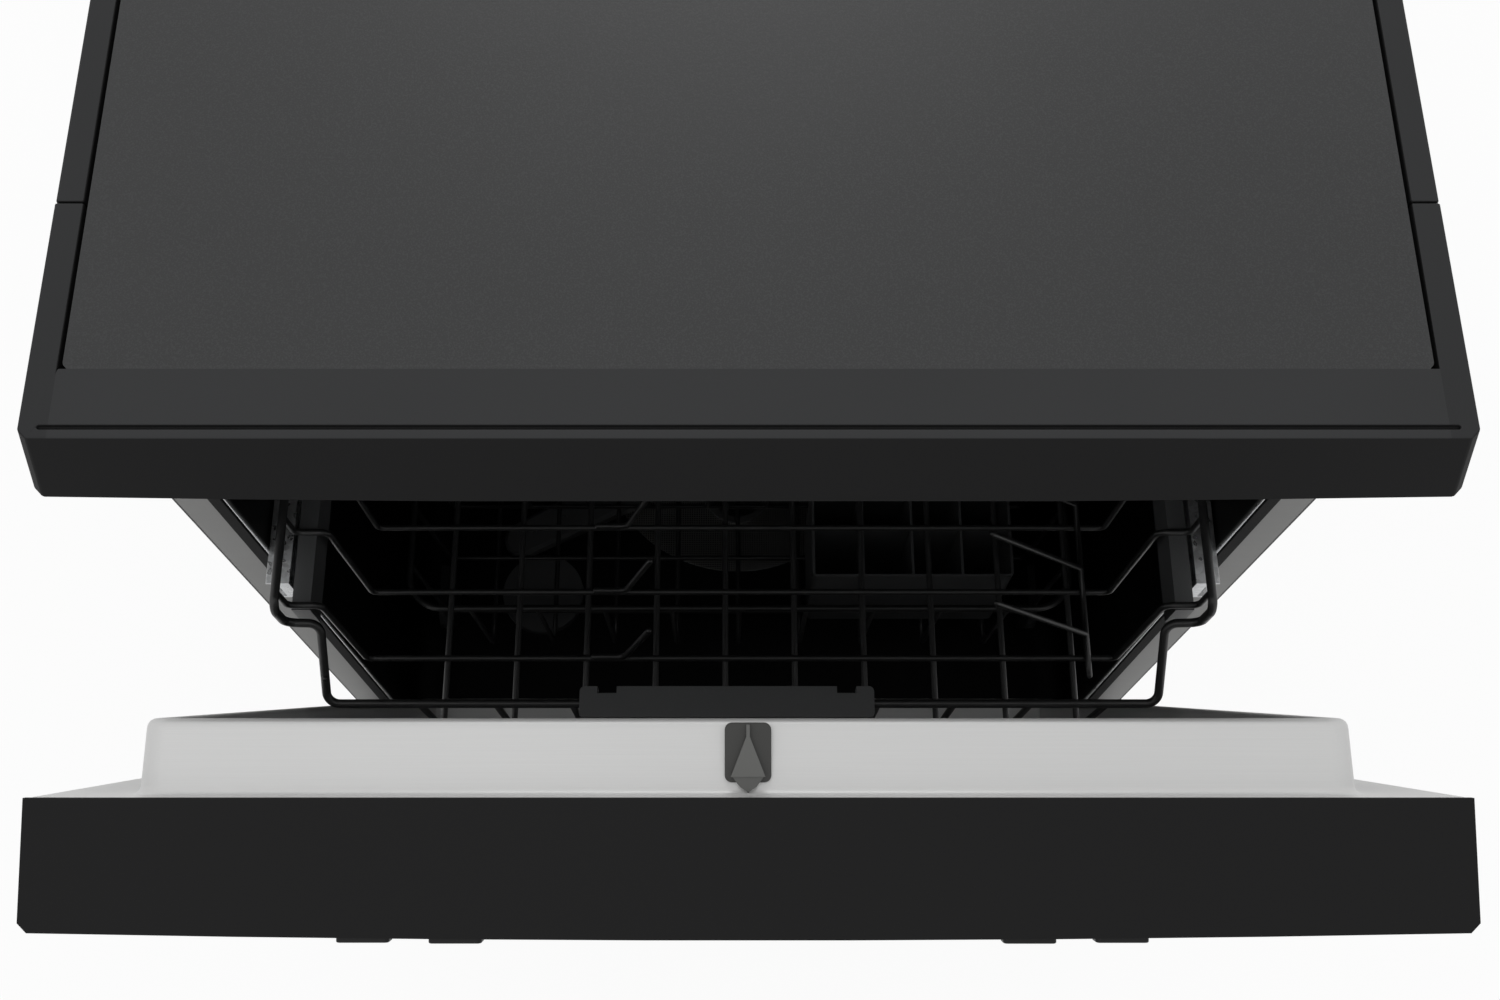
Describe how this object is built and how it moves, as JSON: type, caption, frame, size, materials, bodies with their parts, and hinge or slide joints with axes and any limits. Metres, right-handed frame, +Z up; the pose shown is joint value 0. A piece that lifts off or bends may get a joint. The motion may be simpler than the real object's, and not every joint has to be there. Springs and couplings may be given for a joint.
{
  "type": "freestanding dishwasher",
  "caption": "Freestanding dishwasher with drop-down door, wire racks on rails and wheels, spray arms, pumps and softener; door slightly open, upper rack drawn out.",
  "frame": {"origin": "on the floor, under the middle of the whole object as it stands at rest", "axes": "+X to the user's right, +Y to the back, +Z up"},
  "size_m": [0.598, 0.7759, 0.85],
  "materials": {
    "worktop_laminate": "satin laminate",
    "dark_trim": "fine grained",
    "dark_paint": "satin",
    "door_paint": "satin",
    "button_plastic": "satin",
    "tub_steel": "satin",
    "liner_steel": "satin light grey",
    "back_steel": "galvanised",
    "zinc_steel": "zinc plated",
    "black_rubber": "matt",
    "bitumen": "matt mat",
    "base_plastic": "moulded",
    "grey_plastic": "moulded",
    "light_plastic": "moulded",
    "clear_plastic": "translucent",
    "rack_wire": "nylon coated",
    "wheel_plastic": "moulded",
    "pump_housing": "cast",
    "filter_steel": "perforated",
    "board_green": "lacquered board"
  },
  "bodies": {
    "cabinet": {"base_frame": "base_plastic", "kick_plate": "dark_paint", "left_side_panel": "dark_paint", "right_side_panel": "dark_paint", "back_panel": "back_steel", "worktop_panel": "worktop_laminate", "worktop_front_trim": "dark_trim", "worktop_edge_trims": "dark_trim", "tub": "tub_steel", "tub_gasket": "black_rubber", "tub_insulation": "bitumen", "sump": "grey_plastic", "filter_plate": "filter_steel", "circulation_pump": "pump_housing", "drain_pump": "grey_plastic", "softener_tank": "light_plastic", "water_intake_box": "clear_plastic", "inlet_valve": "light_plastic", "power_gland": "black_rubber", "feed_pipe": "grey_plastic", "hinge_brackets": "zinc_steel", "door_springs": "zinc_steel", "levelling_feet": "grey_plastic", "cabinet_screws": "zinc_steel"},
    "door": {"door_outer_panel": "door_paint", "door_inner_panel": "liner_steel", "door_fascia": "dark_trim", "hinge_arms": "zinc_steel", "latch_insert": "button_plastic", "door_bottom_seal": "black_rubber", "control_board": "board_green", "dispenser_body": "grey_plastic"},
    "upper_rack": {"upper_rack_basket": "rack_wire", "upper_rack_handle": "grey_plastic", "rack_supply_pipe": "grey_plastic", "rack_carriers": "grey_plastic"},
    "lower_rack": {"lower_rack_basket": "rack_wire"},
    "filter_cylinder": {"filter_cylinder": "grey_plastic"},
    "pump_impeller": {"pump_impeller": "light_plastic"},
    "salt_cap": {"salt_cap": "grey_plastic"},
    "leak_float": {"leak_float": "light_plastic"},
    "lower_spray_arm": {"lower_spray_arm": "grey_plastic"},
    "door_catch": {"door_catch": "zinc_steel"},
    "slide_rails": {"slide_rails": "zinc_steel"},
    "tub_front_rollers": {"tub_front_rollers": "wheel_plastic"},
    "tub_rear_rollers": {"tub_rear_rollers": "wheel_plastic"},
    "upper_spray_arm": {"upper_spray_arm": "grey_plastic"},
    "upper_rack_tines": {"upper_rack_tines": "rack_wire"},
    "rack_front_rollers": {"rack_front_rollers": "wheel_plastic"},
    "rack_rear_rollers": {"rack_rear_rollers": "wheel_plastic"},
    "lower_front_wheels": {"lower_front_wheels": "wheel_plastic"},
    "lower_rear_wheels": {"lower_rear_wheels": "wheel_plastic"},
    "lower_rack_tines": {"lower_rack_tines": "rack_wire"},
    "cutlery_basket": {"cutlery_basket": "grey_plastic"},
    "dispenser_lid": {"dispenser_lid": "grey_plastic"},
    "rinse_aid_cap": {"rinse_aid_cap": "grey_plastic"},
    "power_button": {"power_button": "button_plastic"},
    "program_button": {"program_button": "button_plastic"},
    "delay_button": {"delay_button": "button_plastic"},
    "start_button": {"start_button": "button_plastic"}
  },
  "joints": [
    {"name": "door_hinge", "type": "hinge", "parent": "cabinet", "child": "door", "pos_m": [0, -0.15523, 0.105], "axis": [1, 0, 0], "range_deg": [-14.3, 75.7], "deforming": ["door_springs"]},
    {"name": "rail_slide", "type": "slide", "parent": "cabinet", "child": "slide_rails", "axis": [0, -1, 0], "range_m": [-0.0552, 0.2916]},
    {"name": "upper_rack_slide", "type": "slide", "parent": "cabinet", "child": "upper_rack", "axis": [0, -1, 0], "range_m": [-0.0787, 0.4165]},
    {"name": "lower_rack_slide", "type": "slide", "parent": "cabinet", "child": "lower_rack", "axis": [0, -1, 0], "range_m": [-0.006, 0.045]},
    {"name": "lower_arm_spin", "type": "hinge", "parent": "cabinet", "child": "lower_spray_arm", "pos_m": [0, 0.09477, 0.16], "axis": [0, 0, 1], "continuous": true},
    {"name": "upper_arm_spin", "type": "hinge", "parent": "upper_rack", "child": "upper_spray_arm", "pos_m": [0, 0.00527, 0.44], "axis": [0, 0, 1], "continuous": true},
    {"name": "upper_tines_fold", "type": "hinge", "parent": "upper_rack", "child": "upper_rack_tines", "pos_m": [0.216, 0, 0.4821], "axis": [0, 1, 0], "range_deg": [-40, 45]},
    {"name": "lower_tines_fold", "type": "hinge", "parent": "lower_rack", "child": "lower_rack_tines", "pos_m": [0, 0.10477, 0.2041], "axis": [-1, 0, 0], "range_deg": [0, 70]},
    {"name": "cutlery_lift", "type": "slide", "parent": "lower_rack", "child": "cutlery_basket", "axis": [0, 0, 1], "range_m": [0, 0.1]},
    {"name": "filter_twist", "type": "hinge", "parent": "cabinet", "child": "filter_cylinder", "pos_m": [0, 0.05027, 0.14], "axis": [0, 0, 1], "range_deg": [0, 45]},
    {"name": "impeller_spin", "type": "hinge", "parent": "cabinet", "child": "pump_impeller", "pos_m": [0.11, 0.09477, 0.08], "axis": [1, 0, 0], "continuous": true},
    {"name": "salt_cap_turn", "type": "hinge", "parent": "cabinet", "child": "salt_cap", "pos_m": [-0.165, -0.04523, 0.145], "axis": [0, 0, 1], "range_deg": [0, 360]},
    {"name": "leak_float_lift", "type": "slide", "parent": "cabinet", "child": "leak_float", "axis": [0, 0, 1], "range_m": [0, 0.008]},
    {"name": "door_catch_lift", "type": "hinge", "parent": "cabinet", "child": "door_catch", "pos_m": [0, -0.11023, 0.816], "axis": [-1, 0, 0], "range_deg": [0, 6], "stiffness_Nm_per_rad": 0.5},
    {"name": "dispenser_lid_hinge", "type": "hinge", "parent": "door", "child": "dispenser_lid", "pos_m": [-0.059, -0.20938, 0.34093], "axis": [-1, 0, 0], "range_deg": [0, 100]},
    {"name": "rinse_aid_cap_turn", "type": "hinge", "parent": "door", "child": "rinse_aid_cap", "pos_m": [0.036, -0.22006, 0.38362], "axis": [0, 0.969, 0.247], "range_deg": [0, 90]},
    {"name": "tub_front_roller_spin", "type": "hinge", "parent": "cabinet", "child": "tub_front_rollers", "pos_m": [0, -0.11023, 0.575], "axis": [1, 0, 0], "continuous": true},
    {"name": "tub_rear_roller_spin", "type": "hinge", "parent": "cabinet", "child": "tub_rear_rollers", "pos_m": [0, -0.03023, 0.575], "axis": [1, 0, 0], "continuous": true},
    {"name": "rack_front_roller_spin", "type": "hinge", "parent": "upper_rack", "child": "rack_front_rollers", "pos_m": [0, -0.03388, 0.575], "axis": [1, 0, 0], "continuous": true},
    {"name": "rack_rear_roller_spin", "type": "hinge", "parent": "upper_rack", "child": "rack_rear_rollers", "pos_m": [0, 0.23612, 0.575], "axis": [1, 0, 0], "continuous": true},
    {"name": "lower_front_wheel_spin", "type": "hinge", "parent": "lower_rack", "child": "lower_front_wheels", "pos_m": [0, -0.06023, 0.1583], "axis": [1, 0, 0], "continuous": true},
    {"name": "lower_rear_wheel_spin", "type": "hinge", "parent": "lower_rack", "child": "lower_rear_wheels", "pos_m": [0, 0.26977, 0.1583], "axis": [1, 0, 0], "continuous": true},
    {"name": "power_button_press", "type": "slide", "parent": "door", "child": "power_button", "axis": [0, 0.969, 0.247], "range_m": [0, 0.0012], "stiffness_N_per_m": 600},
    {"name": "program_button_press", "type": "slide", "parent": "door", "child": "program_button", "axis": [0, 0.969, 0.247], "range_m": [0, 0.0012], "stiffness_N_per_m": 600},
    {"name": "delay_button_press", "type": "slide", "parent": "door", "child": "delay_button", "axis": [0, 0.969, 0.247], "range_m": [0, 0.0012], "stiffness_N_per_m": 600},
    {"name": "start_button_press", "type": "slide", "parent": "door", "child": "start_button", "axis": [0, 0.969, 0.247], "range_m": [0, 0.0012], "stiffness_N_per_m": 600}
  ],
  "couplings": [
    {"joint": "rail_slide", "follows": "door_hinge", "m_per_rad": 0.22059},
    {"joint": "upper_rack_slide", "follows": "door_hinge", "m_per_rad": 0.31513}
  ]
}
